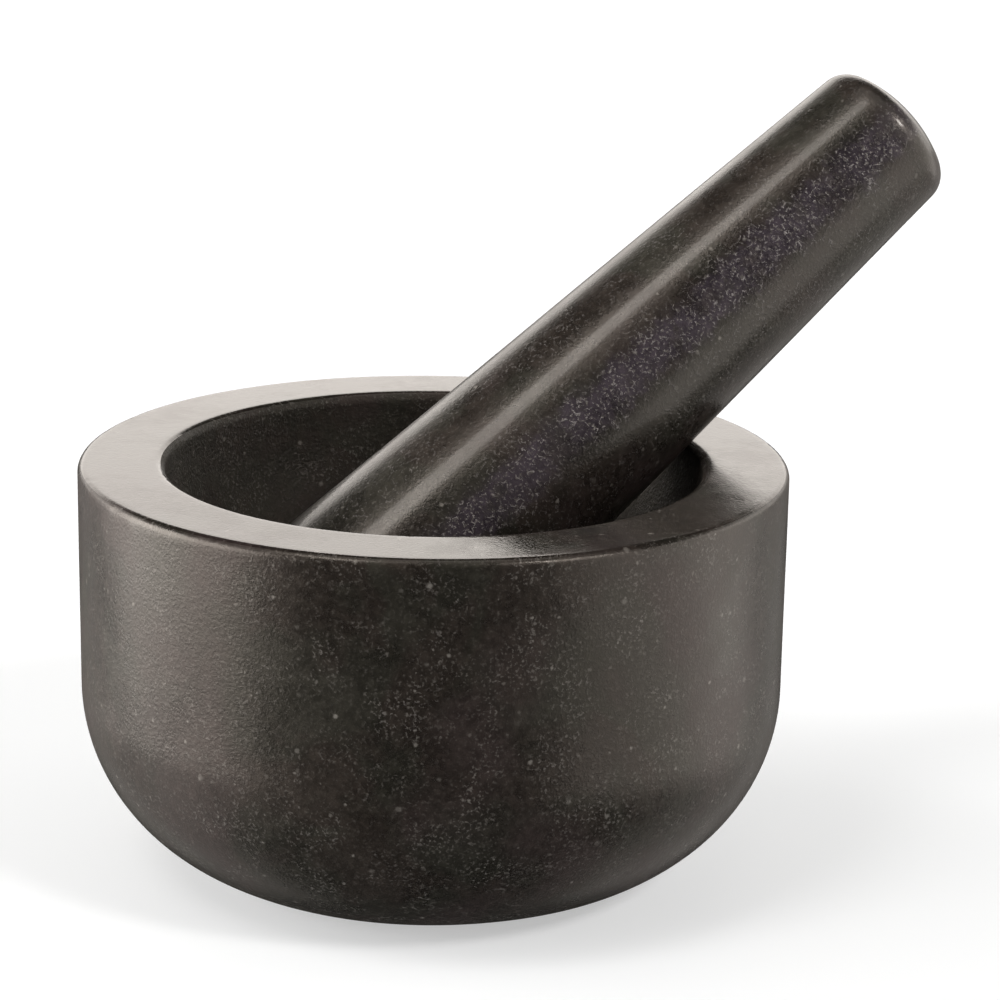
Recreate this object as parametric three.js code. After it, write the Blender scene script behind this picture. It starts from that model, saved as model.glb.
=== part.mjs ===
// Polished granite mortar with its pestle leaning in the bowl.
// Millimetres, +Z up. The origin is the centre of the base pad's underside, on the mortar's axis.
import * as THREE from "three";

// Mortar, turned from one block of stone.
const MORTAR_RADIUS = 70; // outside of the upright wall
const MORTAR_HEIGHT = 80; // foot to rim
const MORTAR_WALL = 17; // thickness of the upright wall at the mouth
const RIM_EDGE_RADIUS = 1.6; // rounding of the flat rim's outer edge
const LIP_RADIUS = 2; // rounding of the flat rim's inner edge
const LIP_DROP = 1; // upright stretch between the lip's rounding and the round bowl
const CORNER_RADIUS = 38; // arc that turns the wall under, down to the foot
const FOOT_INSET = 24.4; // how far the foot's edge lies inside the wall

// Base pad, a soft disc glued under the foot.
const PAD_THICKNESS = 2;
const PAD_INSET = 8; // how far the pad's edge lies inside the foot's edge

// Pestle, turned from one bar of stone.
const PESTLE_LENGTH = 171; // from the head's lowest point to the top of the grip
const HEAD_RADIUS = 22.8; // ball-shaped grinding end
const GRIP_RADIUS = 15.5; // radius that the tapered side would have at the very top
const GRIP_EDGE_RADIUS = 5; // rounding between the side and the domed top
const GRIP_DOME_RADIUS = 30; // domed top

// How the pestle rests: its head in the bowl, its side on the lip.
const SEAT_GAP = 0.3; // clearance between the two stones
const SEAT_ANGLE = THREE.MathUtils.degToRad(27); // head's place in the bowl, from its lowest point
const LEAN_AZIMUTH = THREE.MathUtils.degToRad(21); // way it leans, from +X towards +Y

// Fineness of the round surfaces.
const MORTAR_SIDES = 80;
const PESTLE_SIDES = 56;
const ARC_TOLERANCE = 0.05; // how far a chord may stand off its arc

// Sizes that follow from those above. Heights on the mortar are counted from its foot.
const bowlRadius = MORTAR_RADIUS - MORTAR_WALL;
const bowlCentreHeight = MORTAR_HEIGHT - LIP_RADIUS - LIP_DROP;
const lipCentre = new THREE.Vector2(bowlRadius + LIP_RADIUS, MORTAR_HEIGHT - LIP_RADIUS);
const footRadius = MORTAR_RADIUS - FOOT_INSET;
const cornerCentre = new THREE.Vector2(
  MORTAR_RADIUS - CORNER_RADIUS,
  Math.sqrt(FOOT_INSET * (2 * CORNER_RADIUS - FOOT_INSET)),
);

// Distances along the pestle are counted from the centre of its ball-shaped head.
const gripTop = PESTLE_LENGTH - HEAD_RADIUS;
const taper = Math.asin(HEAD_RADIUS / Math.hypot(gripTop, GRIP_RADIUS)) - Math.atan2(GRIP_RADIUS, gripTop);

const QUARTER_TURN = Math.PI / 2;

// Points of an arc in a lathe profile, with as many chords as the tolerance asks for.
function arc(centre, radius, from, to) {
  const chordAngle = 2 * Math.acos(1 - ARC_TOLERANCE / radius);
  const chords = Math.ceil(Math.abs(to - from) / chordAngle);
  const curve = new THREE.EllipseCurve(centre.x, centre.y, radius, radius, from, to, to < from);
  return curve.getPoints(chords);
}

// A turned solid that stands on the plane of its profile's axis, with that axis along +Z.
function turned(name, profile, sides, material) {
  const mesh = new THREE.Mesh(new THREE.LatheGeometry(profile, sides), material);
  mesh.name = name;
  mesh.rotation.x = QUARTER_TURN;
  return mesh;
}

// Foot, corner arc, upright wall, rounded rim edge, flat rim, lip and half-round bowl.
function mortarProfile() {
  const footAngle = -Math.asin(cornerCentre.y / CORNER_RADIUS);
  const rimEdgeCentre = new THREE.Vector2(
    MORTAR_RADIUS - RIM_EDGE_RADIUS,
    MORTAR_HEIGHT - RIM_EDGE_RADIUS,
  );
  return [
    new THREE.Vector2(0, 0),
    new THREE.Vector2(footRadius, 0),
    ...arc(cornerCentre, CORNER_RADIUS, footAngle, 0).slice(1),
    ...arc(rimEdgeCentre, RIM_EDGE_RADIUS, 0, QUARTER_TURN),
    ...arc(lipCentre, LIP_RADIUS, QUARTER_TURN, 2 * QUARTER_TURN),
    ...arc(new THREE.Vector2(0, bowlCentreHeight), bowlRadius, 0, -QUARTER_TURN).slice(0, -1),
    new THREE.Vector2(0, bowlCentreHeight - bowlRadius),
  ];
}

// Ball head, tapered side, rounded top edge and domed top.
function pestleProfile() {
  const domeCentre = gripTop - GRIP_DOME_RADIUS;
  const offset = HEAD_RADIUS - GRIP_EDGE_RADIUS - domeCentre * Math.sin(taper);
  const along = Math.sqrt((GRIP_DOME_RADIUS - GRIP_EDGE_RADIUS) ** 2 - offset ** 2);
  const edgeCentre = new THREE.Vector2(
    offset * Math.cos(taper) - along * Math.sin(taper),
    domeCentre + offset * Math.sin(taper) + along * Math.cos(taper),
  );
  const domeAngle = Math.atan2(edgeCentre.y - domeCentre, edgeCentre.x);
  return [
    new THREE.Vector2(0, -HEAD_RADIUS),
    ...arc(new THREE.Vector2(0, 0), HEAD_RADIUS, -QUARTER_TURN, taper).slice(1),
    ...arc(edgeCentre, GRIP_EDGE_RADIUS, taper, domeAngle),
    ...arc(new THREE.Vector2(0, domeCentre), GRIP_DOME_RADIUS, domeAngle, QUARTER_TURN).slice(1, -1),
    new THREE.Vector2(0, gripTop),
  ];
}

// Where the head's centre lies and how steeply the axis rises, in the upright plane of both axes.
// The head clears the bowl by the seat gap, and the tapered side clears the lip by the same gap.
function pestleRest() {
  const headReach = bowlRadius - HEAD_RADIUS - SEAT_GAP;
  const head = new THREE.Vector2(
    -headReach * Math.sin(SEAT_ANGLE),
    bowlCentreHeight - headReach * Math.cos(SEAT_ANGLE),
  );
  const toLip = lipCentre.clone().sub(head);
  const sideElevation = toLip.angle() + Math.asin((HEAD_RADIUS + SEAT_GAP + LIP_RADIUS) / toLip.length());
  return { head, elevation: sideElevation - taper };
}

function basePad() {
  const foam = new THREE.MeshStandardMaterial({ color: 0x1b1b1c, roughness: 0.95, metalness: 0 });
  const radius = footRadius - PAD_INSET;
  const disc = new THREE.CylinderGeometry(radius, radius, PAD_THICKNESS, MORTAR_SIDES);
  const mesh = new THREE.Mesh(disc, foam);
  mesh.name = "base_pad";
  mesh.rotation.x = QUARTER_TURN;
  mesh.position.z = PAD_THICKNESS / 2;
  return mesh;
}

function mortar() {
  const granite = new THREE.MeshStandardMaterial({ color: 0x35312f, roughness: 0.35, metalness: 0 });
  const mesh = turned("mortar", mortarProfile(), MORTAR_SIDES, granite);
  mesh.position.z = PAD_THICKNESS;
  return mesh;
}

function pestle() {
  const granite = new THREE.MeshStandardMaterial({ color: 0x2b2828, roughness: 0.3, metalness: 0 });
  const rest = pestleRest();
  const leaning = new THREE.Group();
  leaning.position.set(rest.head.x, 0, PAD_THICKNESS + rest.head.y);
  leaning.rotation.y = QUARTER_TURN - rest.elevation;
  leaning.add(turned("pestle", pestleProfile(), PESTLE_SIDES, granite));
  const facing = new THREE.Group();
  facing.rotation.z = LEAN_AZIMUTH;
  facing.add(leaning);
  return facing;
}

const mortarAndPestle = new THREE.Group();
mortarAndPestle.add(basePad(), mortar(), pestle());

export default mortarAndPestle;
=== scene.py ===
"""Granite mortar and pestle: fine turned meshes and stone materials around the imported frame.

Lengths are in metres. The mortar's axis is the world's Z axis, and the camera looks along +Y.
"""

import math

import bmesh
import bpy
import numpy as np
from mathutils import Matrix, Vector, noise


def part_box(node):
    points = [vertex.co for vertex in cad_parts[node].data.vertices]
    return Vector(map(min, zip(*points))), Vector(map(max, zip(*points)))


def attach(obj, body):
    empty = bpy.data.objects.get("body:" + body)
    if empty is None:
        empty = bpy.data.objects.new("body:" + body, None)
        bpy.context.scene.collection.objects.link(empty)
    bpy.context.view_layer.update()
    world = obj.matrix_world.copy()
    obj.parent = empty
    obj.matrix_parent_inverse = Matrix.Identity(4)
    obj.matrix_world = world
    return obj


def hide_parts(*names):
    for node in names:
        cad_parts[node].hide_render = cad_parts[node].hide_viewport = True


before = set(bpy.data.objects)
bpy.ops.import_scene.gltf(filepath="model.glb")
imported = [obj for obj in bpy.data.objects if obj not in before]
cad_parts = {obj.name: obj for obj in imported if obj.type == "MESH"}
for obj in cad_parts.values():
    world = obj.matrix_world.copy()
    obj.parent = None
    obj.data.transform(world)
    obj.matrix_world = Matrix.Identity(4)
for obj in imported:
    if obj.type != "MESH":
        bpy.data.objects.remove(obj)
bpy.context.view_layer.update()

MM = 0.001

# Mortar, where the frame's box doesn't say it.
MORTAR_WALL = 17 * MM
RIM_EDGE_RADIUS = 1.6 * MM
LIP_RADIUS = 2 * MM
LIP_DROP = 1 * MM
CORNER_RADIUS = 38 * MM
FOOT_INSET = 24.4 * MM
FOOT_EDGE_RADIUS = 1.5 * MM
RIM_FLATNESS = 0.8  # faces that look up more than this are polished as the rim is

# Pestle, where the frame's box doesn't say it.
HEAD_RADIUS = 22.8 * MM
GRIP_RADIUS = 15.5 * MM
GRIP_EDGE_RADIUS = 5 * MM
GRIP_DOME_RADIUS = 30 * MM

# Base pad.
PAD_SIDES = 160
PAD_EDGE = 0.4 * MM

# Waviness of the polished stone, and nicks in its edges.
WAVE_LENGTH = 26 * MM
WAVE_DEPTH = 0.05 * MM
NICK_SIZE = 1.7 * MM
NICK_SPACING = 9 * MM
NICK_DEPTH = 0.45 * MM
NICK_RARITY = 0.42
NICK_REACH = 3 * MM
RIM_NICK_REACH = 2.6 * MM
GRIP_EDGE_DROP = 1.5 * MM  # how far the grip's edge lies under its top

# Fineness of the turned meshes.
MORTAR_SIDES = 400
PESTLE_SIDES = 192
MESH_STEP = 1 * MM
ARC_STEP = math.radians(9)

# Camera, in front of the mortar and above its rim, looking down a little right of its axis.
CAMERA_DISTANCE = 610.5 * MM
CAMERA_OVER_RIM = 165.1 * MM
CAMERA_PITCH = math.radians(15.87)
CAMERA_YAW = math.radians(1.23)
CAMERA_ROLL = math.radians(1.01)
LENS_LENGTH = 115.2  # millimetres, as the camera's own settings are
SENSOR_WIDTH = 36

# Panels of studio light, with angles in degrees: whether it stands on both sides, azimuths counted
# from the camera's side towards +X, elevations, softness of its edges in azimuth and in elevation,
# brightness.
PANELS = {
    "backdrop": (True, (112, 200), (6, 24), (26, 5), 2.2),
    "low_sides": (True, (94, 148), (-60, -4), (14, 6), 0.46),
    "ceiling": (True, (0, 200), (72, 90), (1, 8), 0.8),
    "left_box": (False, (-112, -63), (-9, 22), (12, 12), 9.4),
    "left_low_box": (False, (-104, -64), (-38, -24), (16, 12), 0.8),
    "right_fill": (False, (51, 112), (-22, 24), (14, 8), 1.8),
    "key_box": (False, (-60, -40), (55, 67), (12, 9), 9.5),
    "lamp": (False, (44, 54), (37, 45), (3, 3), 44),
}
DIMMEST = 0.05  # brightness between the panels
WARM_LIGHT = (1.0, 0.945, 0.89, 1)

# Floor. Its own glow keeps the shadows faint.
FLOOR_RADIUS = 20
FLOOR_COLOUR = (0.50, 0.53, 0.56, 1)
FLOOR_GLOW = 0.44
WHITE = (1, 1, 1, 1)

QUARTER_TURN = math.pi / 2
SAME_PLACE = 1e-7  # points closer than this are one point


# ---------------------------------------------------------------- turned meshes


def arc(centre, radius, start, end):
    """Points of an arc in a profile of (radius, height) pairs."""
    sweep = abs(end - start)
    count = max(2, math.ceil(sweep / min(ARC_STEP, MESH_STEP / radius)))
    angles = [start + (end - start) * i / count for i in range(count + 1)]
    return [(centre[0] + radius * math.cos(a), centre[1] + radius * math.sin(a)) for a in angles]


def with_steps(profile):
    """The same profile with points added, so that no step is longer than the mesh step."""
    points = [profile[0]]
    for start, end in zip(profile, profile[1:]):
        length = math.dist(start, end)
        if length < SAME_PLACE:
            continue
        count = max(1, math.ceil(length / MESH_STEP))
        for i in range(1, count + 1):
            t = i / count
            points.append((start[0] + (end[0] - start[0]) * t, start[1] + (end[1] - start[1]) * t))
    return points


def turned(name, profile, sides):
    """A closed mesh turned about Z. The profile starts and ends on the axis."""
    inner = profile[1:-1]
    vertices = [(0, 0, profile[0][1])]
    for radius, height in inner:
        for i in range(sides):
            angle = 2 * math.pi * i / sides
            vertices.append((radius * math.cos(angle), radius * math.sin(angle), height))
    vertices.append((0, 0, profile[-1][1]))
    last = len(vertices) - 1
    faces = []
    for i in range(sides):
        j = (i + 1) % sides
        faces.append((0, 1 + j, 1 + i))
        for row in range(len(inner) - 1):
            a = 1 + row * sides
            b = a + sides
            faces.append((a + i, a + j, b + j, b + i))
        a = 1 + (len(inner) - 1) * sides
        faces.append((a + i, a + j, last))
    mesh = bpy.data.meshes.new(name)
    mesh.from_pydata(vertices, [], faces)
    mesh.polygons.foreach_set("use_smooth", [True] * len(faces))
    mesh.update()
    piece = bpy.data.objects.new(name, mesh)
    bpy.context.scene.collection.objects.link(piece)
    return piece


def weathered(piece, edges):
    """Slight waviness of the polished stone, and small nicks along the edges.

    edges is a list of (radius, height, reach) circles about Z that the nicks stay near.
    """
    mesh = piece.data
    normals = [v.normal.copy() for v in mesh.vertices]
    for vertex, normal in zip(mesh.vertices, normals):
        at = vertex.co.copy()
        depth = noise.noise(at / WAVE_LENGTH) * WAVE_DEPTH
        from_axis = math.hypot(at.x, at.y)
        for radius, height, reach in edges:
            near = 1 - math.hypot(from_axis - radius, at.z - height) / reach
            if near > 0:
                chip = noise.noise(at / NICK_SIZE) + 0.5 * noise.noise(at / NICK_SPACING) - NICK_RARITY
                depth -= max(0, chip) * NICK_DEPTH * near
        vertex.co = at + normal * depth
    mesh.update()


def mortar_profile(radius, height):
    """Foot, corner arc, wall, rim edge, flat rim, lip and half-round bowl, from the foot's centre."""
    bowl_radius = radius - MORTAR_WALL
    bowl_centre = height - LIP_RADIUS - LIP_DROP
    corner = (radius - CORNER_RADIUS, math.sqrt(FOOT_INSET * (2 * CORNER_RADIUS - FOOT_INSET)))
    # The foot's edge is rounded inside the corner arc, tangent to it and to the foot.
    inside = CORNER_RADIUS - FOOT_EDGE_RADIUS
    drop = corner[1] - FOOT_EDGE_RADIUS
    edge = (corner[0] + math.sqrt(inside**2 - drop**2), FOOT_EDGE_RADIUS)
    foot_angle = -math.asin(drop / inside)
    rim_edge = (radius - RIM_EDGE_RADIUS, height - RIM_EDGE_RADIUS)
    lip = (bowl_radius + LIP_RADIUS, height - LIP_RADIUS)
    return with_steps(
        [(0, 0)]
        + arc(edge, FOOT_EDGE_RADIUS, -QUARTER_TURN, foot_angle)
        + arc(corner, CORNER_RADIUS, foot_angle, 0)
        + arc(rim_edge, RIM_EDGE_RADIUS, 0, QUARTER_TURN)
        + arc(lip, LIP_RADIUS, QUARTER_TURN, 2 * QUARTER_TURN)
        + arc((0, bowl_centre), bowl_radius, 0, -QUARTER_TURN)[:-1]
        + [(0, bowl_centre - bowl_radius)]
    )


def pestle_profile(length):
    """Ball head, tapered side, rounded edge and domed top. Height 0 is the ball's centre."""
    top = length - HEAD_RADIUS
    taper = math.asin(HEAD_RADIUS / math.hypot(top, GRIP_RADIUS)) - math.atan2(GRIP_RADIUS, top)
    dome = top - GRIP_DOME_RADIUS
    offset = HEAD_RADIUS - GRIP_EDGE_RADIUS - dome * math.sin(taper)
    along = math.sqrt((GRIP_DOME_RADIUS - GRIP_EDGE_RADIUS) ** 2 - offset**2)
    edge = (
        offset * math.cos(taper) - along * math.sin(taper),
        dome + offset * math.sin(taper) + along * math.cos(taper),
    )
    dome_angle = math.atan2(edge[1] - dome, edge[0])
    return with_steps(
        [(0, -HEAD_RADIUS)]
        + arc((0, 0), HEAD_RADIUS, -QUARTER_TURN, taper)[1:]
        + arc(edge, GRIP_EDGE_RADIUS, taper, dome_angle)
        + arc((0, dome), GRIP_DOME_RADIUS, dome_angle, QUARTER_TURN)[:-1]
        + [(0, top)]
    )


# ---------------------------------------------------------------- materials


# The pestle's violet vein, a layer along its axis that comes out towards this side: half of its
# thickness, and how far its middle wanders in all.
VEIN_FACING = Vector((0, -1, 0.2))
VEIN_HALF = 4.6 * MM
VEIN_WANDER = 8 * MM

# The stone's colours.
BROWN = (0.0160, 0.0127, 0.0105, 1)
OLIVE = (0.0146, 0.0139, 0.0108, 1)
MAROON = (0.0186, 0.0136, 0.0128, 1)
VIOLET = (0.0262, 0.0208, 0.0290, 1)
PALE_GRAIN = (0.105, 0.098, 0.090, 1)
PALE_NEEDLE = (0.155, 0.148, 0.152, 1)
FLECK = (0.42, 0.40, 0.37, 1)

# How much the pale grains and the flecks cover what is under them.
GRAIN_WEIGHT = 0.42
FLECK_WEIGHT = 0.28

# Flecks: spacing of their cells, size beside that spacing, share of the cells without a fleck.
WIDE_FLECKS = (4.6 * MM, 0.15, 0.45)
MIDDLE_FLECKS = (2.1 * MM, 0.24, 0.5)
FINE_FLECKS = (1.1 * MM, 0.34, 0.5)

# The stone's gloss is slightly warm, and its coat is nearly a mirror.
WARM_GLOSS = (1.0, 0.93, 0.86, 1)
COAT_ROUGHNESS = 0.08

# The foam's colours.
FOAM_PORE = (0.008, 0.008, 0.0085, 1)
FOAM_SKIN = (0.022, 0.022, 0.023, 1)
FOAM_DUSTY = (0.035, 0.034, 0.034, 1)

# Places of the mix node's sockets when it mixes colours.
COLOUR_A = 6
COLOUR_B = 7
COLOUR_RESULT = 2


class Nodes:
    """Short calls that add and join shader nodes."""

    def __init__(self, tree):
        self.tree = tree
        self.tree.nodes.clear()

    def add(self, kind, inputs=None, **settings):
        node = self.tree.nodes.new(kind)
        for name, value in settings.items():
            setattr(node, name, value)
        for name, value in (inputs or {}).items():
            self.put(node.inputs[name], value)
        return node

    def put(self, socket, value):
        if isinstance(value, bpy.types.NodeSocket):
            self.tree.links.new(value, socket)
        else:
            socket.default_value = value

    def math(self, operation, a, b=0.0):
        node = self.add("ShaderNodeMath", operation=operation)
        self.put(node.inputs[0], a)
        self.put(node.inputs[1], b)
        return node.outputs[0]

    def fit(self, value, low, high, to_low=0.0, to_high=1.0):
        """The value taken smoothly from the range low to high to another range."""
        ends = {"From Min": low, "From Max": high, "To Min": to_low, "To Max": to_high}
        node = self.add("ShaderNodeMapRange", ends, interpolation_type="SMOOTHSTEP")
        self.put(node.inputs["Value"], value)
        return node.outputs["Result"]

    def mix(self, factor, a, b):
        node = self.add("ShaderNodeMix", {"Factor": factor}, data_type="RGBA")
        self.put(node.inputs[COLOUR_A], a)
        self.put(node.inputs[COLOUR_B], b)
        return node.outputs[COLOUR_RESULT]

    def noise(self, vector, size, detail, roughness):
        inputs = {"Vector": vector, "Scale": 1 / size, "Detail": detail, "Roughness": roughness}
        return self.add("ShaderNodeTexNoise", inputs)

    def cells(self, vector, size, feature="F1"):
        return self.add("ShaderNodeTexVoronoi", {"Vector": vector, "Scale": 1 / size}, feature=feature)

    def vectors(self, operation, a, b):
        node = self.add("ShaderNodeVectorMath", operation=operation)
        self.put(node.inputs[0], a)
        self.put(node.inputs[1], b)
        return node

    def scaled(self, vector, factor):
        node = self.add("ShaderNodeVectorMath", {"Scale": factor}, operation="SCALE")
        self.put(node.inputs[0], vector)
        return node.outputs["Vector"]

    def principled(self, colour, roughness, height, depth, strength):
        """The surface's shader, joined to the material's output."""
        relief = self.add("ShaderNodeBump", {"Height": height, "Distance": depth, "Strength": strength})
        inputs = {"Base Color": colour, "Roughness": roughness, "Normal": relief.outputs["Normal"]}
        shader = self.add("ShaderNodeBsdfPrincipled", inputs)
        self.add("ShaderNodeOutputMaterial", {"Surface": shader.outputs["BSDF"]})
        return shader


def stone(name, roughness, bump, specular=0.4, salt=1.0, needle=0.2, coat=0.0, vein=None):
    """Dark granite: charcoal with faint clouds, dense pale grains and a few flecks.

    roughness is the range it varies over, bump the depth of the grain, salt the weight of the pale
    grains, needle that of the fine pale lines, and coat that of the polish on top. vein is a
    violet layer through the stone: the normal and distance of its middle plane.
    """
    material = bpy.data.materials.new(name)
    material.use_nodes = True
    n = Nodes(material.node_tree)
    here = n.add("ShaderNodeTexCoord").outputs["Object"]
    bent = wandering(n, here, 1.3 * MM, 0.8 * MM)

    # Noise from the widest clouds down to single grains.
    tint = n.noise(here, 31 * MM, 2.0, 0.5).outputs["Fac"]
    other_tint = n.noise(wandering(n, here, 60 * MM, 90 * MM), 19 * MM, 2.0, 0.5).outputs["Fac"]
    clouds = n.noise(here, 15 * MM, 4.0, 0.6).outputs["Fac"]
    drifts = n.fit(n.noise(here, 9 * MM, 5.0, 0.65).outputs["Fac"], 0.40, 0.66, 0.15, 1.0)
    mottle = n.noise(bent, 1.9 * MM, 4.0, 0.7).outputs["Fac"]
    grit = n.noise(bent, 0.62 * MM, 2.0, 0.6).outputs["Fac"]

    # Ground colour.
    colour = n.mix(n.fit(other_tint, 0.42, 0.58), BROWN, OLIVE)
    colour = n.mix(n.fit(tint, 0.52, 0.66), colour, MAROON)
    if vein:
        layer = layer_through(n, here, *vein)
        drifts = n.math("MULTIPLY", n.math("ADD", drifts, 0.12), n.fit(layer, 0, 1, 0.4, 1.5))
        violet = n.math("MULTIPLY", layer, n.fit(drifts, 0.2, 1.0, 0.35, 1.0))
        colour = n.mix(violet, colour, VIOLET)
    lift = n.math("ADD", n.fit(clouds, 0.35, 0.68, 0.68, 1.12), n.fit(mottle, 0.40, 0.66, -0.08, 0.38))
    colour = n.scaled(colour, lift)

    # Pale grains lie in drifts. Thin crystals show as broken lines between cells.
    grains = n.math("MULTIPLY", n.fit(grit, 0.53, 0.70), drifts)
    lines = n.cells(wandering(n, here, 4 * MM, 0.5 * MM), 1.3 * MM, "DISTANCE_TO_EDGE")
    needles = n.math("MULTIPLY", n.fit(lines.outputs["Distance"], 0.01, 0.08, 1.0, 0.0), drifts)
    needles = n.math("MULTIPLY", needles, n.fit(grit, 0.51, 0.60))
    colour = n.mix(n.math("MULTIPLY", grains, GRAIN_WEIGHT * salt), colour, PALE_GRAIN)
    colour = n.mix(n.math("MULTIPLY", needles, needle), colour, PALE_NEEDLE)
    flecked = n.math("ADD", flecks(n, bent, *WIDE_FLECKS), flecks(n, bent, *MIDDLE_FLECKS))
    flecked = n.math("ADD", flecked, n.math("MULTIPLY", flecks(n, bent, *FINE_FLECKS), drifts))
    colour = n.mix(n.math("MULTIPLY", flecked, FLECK_WEIGHT), colour, FLECK)

    # Sheen and relief.
    worn = n.math("ADD", n.math("MULTIPLY", mottle, 0.3), n.math("MULTIPLY", clouds, 0.7))
    sheen = n.fit(worn, 0.38, 0.62, *roughness)
    height = n.math("ADD", n.math("MULTIPLY", mottle, 0.7), n.math("MULTIPLY", grit, 1.3))
    height = n.math("ADD", height, n.math("MULTIPLY", needles, needle))
    shader = n.principled(colour, sheen, height, depth=bump, strength=1.0)
    shader.inputs["Specular IOR Level"].default_value = specular
    shader.inputs["Specular Tint"].default_value = WARM_GLOSS
    shader.inputs["Coat Weight"].default_value = coat
    shader.inputs["Coat Roughness"].default_value = COAT_ROUGHNESS
    return material


def layer_through(n, vector, normal, distance):
    """1 inside a layer of the stone, fading out unevenly on both sides."""
    across = n.vectors("DOT_PRODUCT", vector, normal).outputs["Value"]
    # The noise is about 0.5 on the whole, so half of the wander is taken off again.
    ragged = n.math("MULTIPLY", n.noise(vector, 5 * MM, 4.0, 0.7).outputs["Fac"], VEIN_WANDER)
    off = n.math("ADD", n.math("SUBTRACT", across, distance + VEIN_WANDER / 2), ragged)
    return n.fit(n.math("ABSOLUTE", off), 0.4 * VEIN_HALF, 1.5 * VEIN_HALF, 1.0, 0.0)


def wandering(n, vector, size, reach):
    """The vector pushed about by noise, so that patterns on it lose their straight edges."""
    push = n.noise(vector, size, 3.0, 0.6).outputs["Color"]
    return n.vectors("ADD", vector, n.scaled(push, reach)).outputs["Vector"]


def flecks(n, vector, spacing, size, skipped):
    """Soft spots of many sizes, in the share of a pattern's cells that isn't skipped."""
    cells = n.cells(vector, spacing)
    chance = n.add("ShaderNodeSeparateColor")
    n.put(chance.inputs["Color"], cells.outputs["Color"])
    kept = n.math("GREATER_THAN", chance.outputs["Red"], skipped)
    reach = n.math("MULTIPLY", n.math("ADD", chance.outputs["Green"], 0.25), size)
    paleness = n.math("POWER", chance.outputs["Blue"], 2.5)
    spot = n.fit(n.math("DIVIDE", cells.outputs["Distance"], reach), 0.3, 1.0, 1.0, 0.0)
    return n.math("MULTIPLY", n.math("MULTIPLY", spot, kept), paleness)


def foam(name):
    """Black closed-cell foam: matt, with fine pores."""
    material = bpy.data.materials.new(name)
    material.use_nodes = True
    n = Nodes(material.node_tree)
    here = n.add("ShaderNodeTexCoord").outputs["Object"]
    pores = n.cells(here, 0.5 * MM).outputs["Distance"]
    soft = n.noise(here, 6 * MM, 3.0, 0.6).outputs["Fac"]
    colour = n.mix(n.fit(pores, 0.1, 0.5), FOAM_PORE, FOAM_SKIN)
    colour = n.mix(n.fit(soft, 0.4, 0.75, 0.0, 0.4), colour, FOAM_DUSTY)
    n.principled(colour, n.fit(soft, 0.3, 0.7, 0.8, 0.95), pores, depth=0.08 * MM, strength=0.6)
    return material


# ---------------------------------------------------------------- pieces


def build_mortar():
    low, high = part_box("mortar")
    radius = (high.x - low.x) / 2
    height = high.z - low.z
    piece = turned("mortar_stone", mortar_profile(radius, height), MORTAR_SIDES)
    mouth = radius - MORTAR_WALL
    rim_edge = (radius, height, RIM_NICK_REACH)
    lip = (mouth, height, NICK_REACH)
    foot_edge = (radius - FOOT_INSET, 0, NICK_REACH)
    weathered(piece, [rim_edge, lip, foot_edge])
    piece.data.transform(Matrix.Translation((0, 0, low.z)))
    honed = stone("granite_honed", roughness=(0.26, 0.38), bump=0.042 * MM, salt=1.6, needle=0.12)
    rim = stone("granite_polished_rim", roughness=(0.06, 0.20), bump=0.018 * MM, specular=0.6)
    bowl = stone("granite_ground_bowl", roughness=(0.5, 0.7), bump=0.2 * MM, specular=0.3, salt=1.6)
    materials = [honed, rim, bowl]
    for material in materials:
        piece.data.materials.append(material)
    for face in piece.data.polygons:
        from_axis = math.hypot(face.center.x, face.center.y)
        if face.normal.z > RIM_FLATNESS and face.center.z > high.z - LIP_RADIUS:
            face.material_index = materials.index(rim)
        elif from_axis < mouth + LIP_RADIUS and face.center.z > low.z + LIP_DROP:
            face.material_index = materials.index(bowl)
    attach(piece, "mortar")
    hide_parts("mortar")


def pestle_axis():
    """The two ends of the pestle's axis, head first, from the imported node's own vertices."""
    points = np.array([v.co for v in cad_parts["pestle"].data.vertices])
    top = points[np.linalg.norm(points - points.mean(0), axis=1).argmax()]
    head = points[np.linalg.norm(points - top, axis=1).argmax()]
    return Vector(head), Vector(top)


def build_pestle():
    head, top = pestle_axis()
    length = (top - head).length
    axis = (top - head).normalized()
    piece = turned("pestle_stone", pestle_profile(length), PESTLE_SIDES)
    grip_edge = (GRIP_RADIUS, length - HEAD_RADIUS - GRIP_EDGE_DROP, NICK_REACH)
    weathered(piece, [grip_edge])
    place = Matrix.Translation(head + axis * HEAD_RADIUS)
    piece.data.transform(place @ axis.to_track_quat("Z", "Y").to_matrix().to_4x4())
    across = axis.cross(VEIN_FACING).normalized()
    polished = stone(
        "granite_pestle",
        roughness=(0.25, 0.36),
        bump=0.05 * MM,
        salt=1.5,
        needle=0.9,
        coat=0.22,
        vein=(tuple(across), across.dot(head)),
    )
    piece.data.materials.append(polished)
    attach(piece, "pestle")
    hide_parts("pestle")


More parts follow.
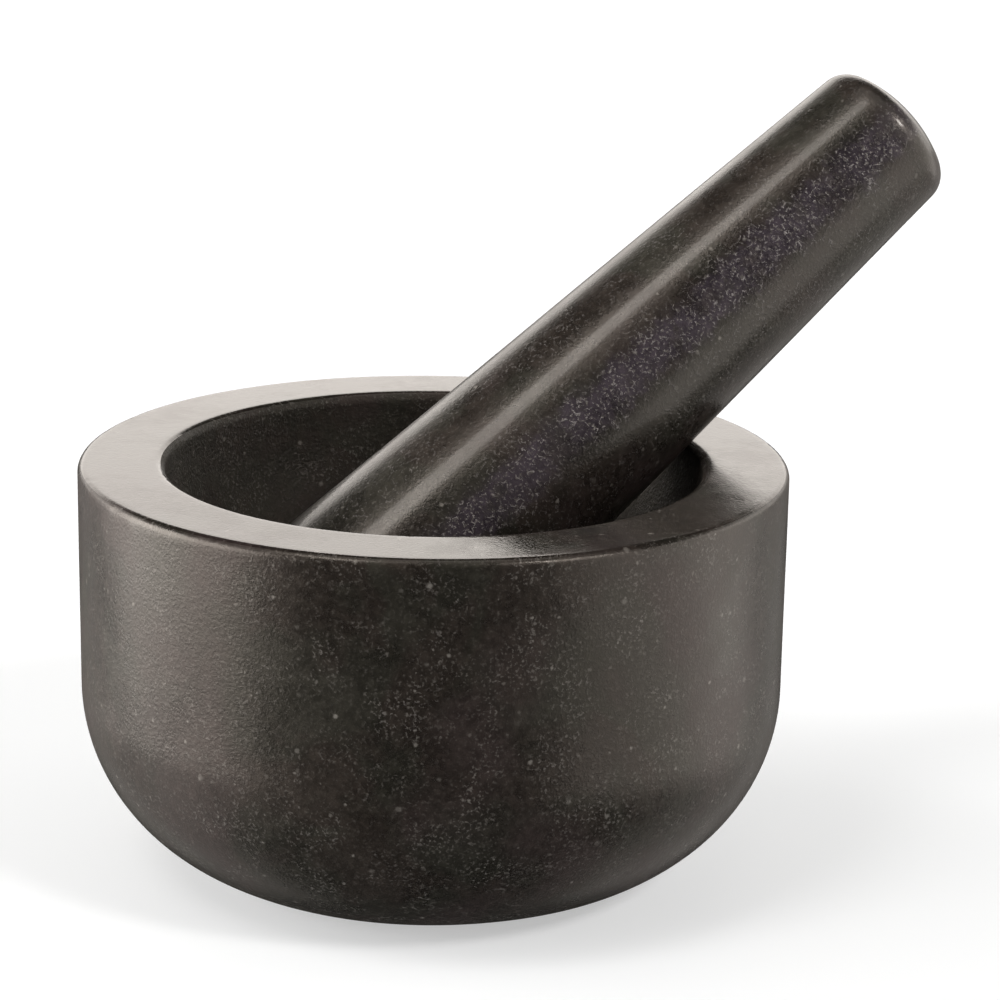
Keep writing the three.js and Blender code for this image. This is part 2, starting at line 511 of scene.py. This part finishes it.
def build_pad():
    low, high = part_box("base_pad")
    radius = (high.x - low.x) / 2
    body = bmesh.new()
    bmesh.ops.create_circle(body, cap_ends=True, segments=PAD_SIDES, radius=radius)
    moved = bmesh.ops.extrude_face_region(body, geom=body.faces[:])
    up = [v for v in moved["geom"] if isinstance(v, bmesh.types.BMVert)]
    bmesh.ops.translate(body, verts=up, vec=(0, 0, high.z - low.z))
    rims = [e for e in body.edges if len(e.link_faces) == 2 and e.calc_face_angle(0) > 1]
    bmesh.ops.bevel(body, geom=rims, offset=PAD_EDGE, segments=3, affect="EDGES", profile=0.5)
    bmesh.ops.recalc_face_normals(body, faces=body.faces)
    mesh = bpy.data.meshes.new("foam_pad")
    body.to_mesh(mesh)
    body.free()
    piece = bpy.data.objects.new("foam_pad", mesh)
    piece.data.transform(Matrix.Translation((0, 0, low.z)))
    bpy.context.scene.collection.objects.link(piece)
    piece.data.materials.append(foam("foam_black"))
    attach(piece, "mortar")
    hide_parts("base_pad")


# ---------------------------------------------------------------- stage, lights and camera


def build_floor():
    bpy.ops.mesh.primitive_circle_add(vertices=96, radius=FLOOR_RADIUS, fill_type="NGON")
    floor = bpy.context.object
    floor.name = "floor"
    material = bpy.data.materials.new("floor_white")
    material.use_nodes = True
    shader = material.node_tree.nodes["Principled BSDF"]
    shader.inputs["Base Color"].default_value = FLOOR_COLOUR
    shader.inputs["Roughness"].default_value = 0.7
    shader.inputs["Specular IOR Level"].default_value = 0.2
    shader.inputs["Emission Color"].default_value = WHITE
    shader.inputs["Emission Strength"].default_value = FLOOR_GLOW
    floor.data.materials.append(material)
    floor.visible_glossy = False


def window(n, value, low, high, soft):
    """1 between low and high, falling to 0 over the soft width outside them."""
    rise = n.fit(value, low - soft, low)
    fall = n.fit(value, high, high + soft, 1.0, 0.0)
    return n.math("MULTIPLY", rise, fall)


def build_world():
    """Soft panels of light all round. Where the camera looks past the floor, it sees plain white."""
    world = bpy.data.worlds.new("studio")
    bpy.context.scene.world = world
    world.use_nodes = True
    n = Nodes(world.node_tree)
    way = n.add("ShaderNodeSeparateXYZ")
    n.put(way.inputs[0], n.add("ShaderNodeTexCoord").outputs["Generated"])
    turn = n.math("ARCTAN2", way.outputs["X"], n.math("MULTIPLY", way.outputs["Y"], -1.0))
    azimuth = n.math("DEGREES", turn)
    rise = n.math("DEGREES", n.math("ARCSINE", way.outputs["Z"]))
    off_front = n.math("ABSOLUTE", azimuth)
    level = DIMMEST
    for both_sides, azimuths, elevations, soft, brightness in PANELS.values():
        across = window(n, off_front if both_sides else azimuth, *azimuths, soft[0])
        panel = n.math("MULTIPLY", across, window(n, rise, *elevations, soft[1]))
        level = n.math("ADD", n.math("MULTIPLY", panel, brightness), level)
    lit = n.add("ShaderNodeBackground", {"Color": WARM_LIGHT, "Strength": level})
    plain = n.add("ShaderNodeBackground", {"Color": WHITE, "Strength": 1.0})
    both = n.add("ShaderNodeMixShader")
    n.put(both.inputs[0], n.add("ShaderNodeLightPath").outputs["Is Camera Ray"])
    n.put(both.inputs[1], lit.outputs[0])
    n.put(both.inputs[2], plain.outputs[0])
    n.add("ShaderNodeOutputWorld", {"Surface": both.outputs[0]})


def build_camera():
    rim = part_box("mortar")[1].z
    ahead = Vector((math.sin(CAMERA_YAW), math.cos(CAMERA_YAW), 0))
    forward = ahead * math.cos(CAMERA_PITCH) - Vector((0, 0, math.sin(CAMERA_PITCH)))
    level = Vector((math.cos(CAMERA_YAW), -math.sin(CAMERA_YAW), 0))
    above = level.cross(forward)
    right = level * math.cos(CAMERA_ROLL) + above * math.sin(CAMERA_ROLL)
    up = above * math.cos(CAMERA_ROLL) - level * math.sin(CAMERA_ROLL)
    lens = bpy.data.cameras.new("camera")
    lens.lens = LENS_LENGTH
    lens.sensor_width = SENSOR_WIDTH
    lens.clip_start = 0.01
    lens.clip_end = 100
    camera = bpy.data.objects.new("camera", lens)
    bpy.context.scene.collection.objects.link(camera)
    turn = Matrix((right, up, -forward)).transposed().to_4x4()
    camera.matrix_world = Matrix.Translation((0, -CAMERA_DISTANCE, rim + CAMERA_OVER_RIM)) @ turn
    bpy.context.scene.camera = camera


build_camera()
build_mortar()
build_pestle()
build_pad()
build_floor()
build_world()
bpy.context.scene.view_settings.view_transform = "Standard"
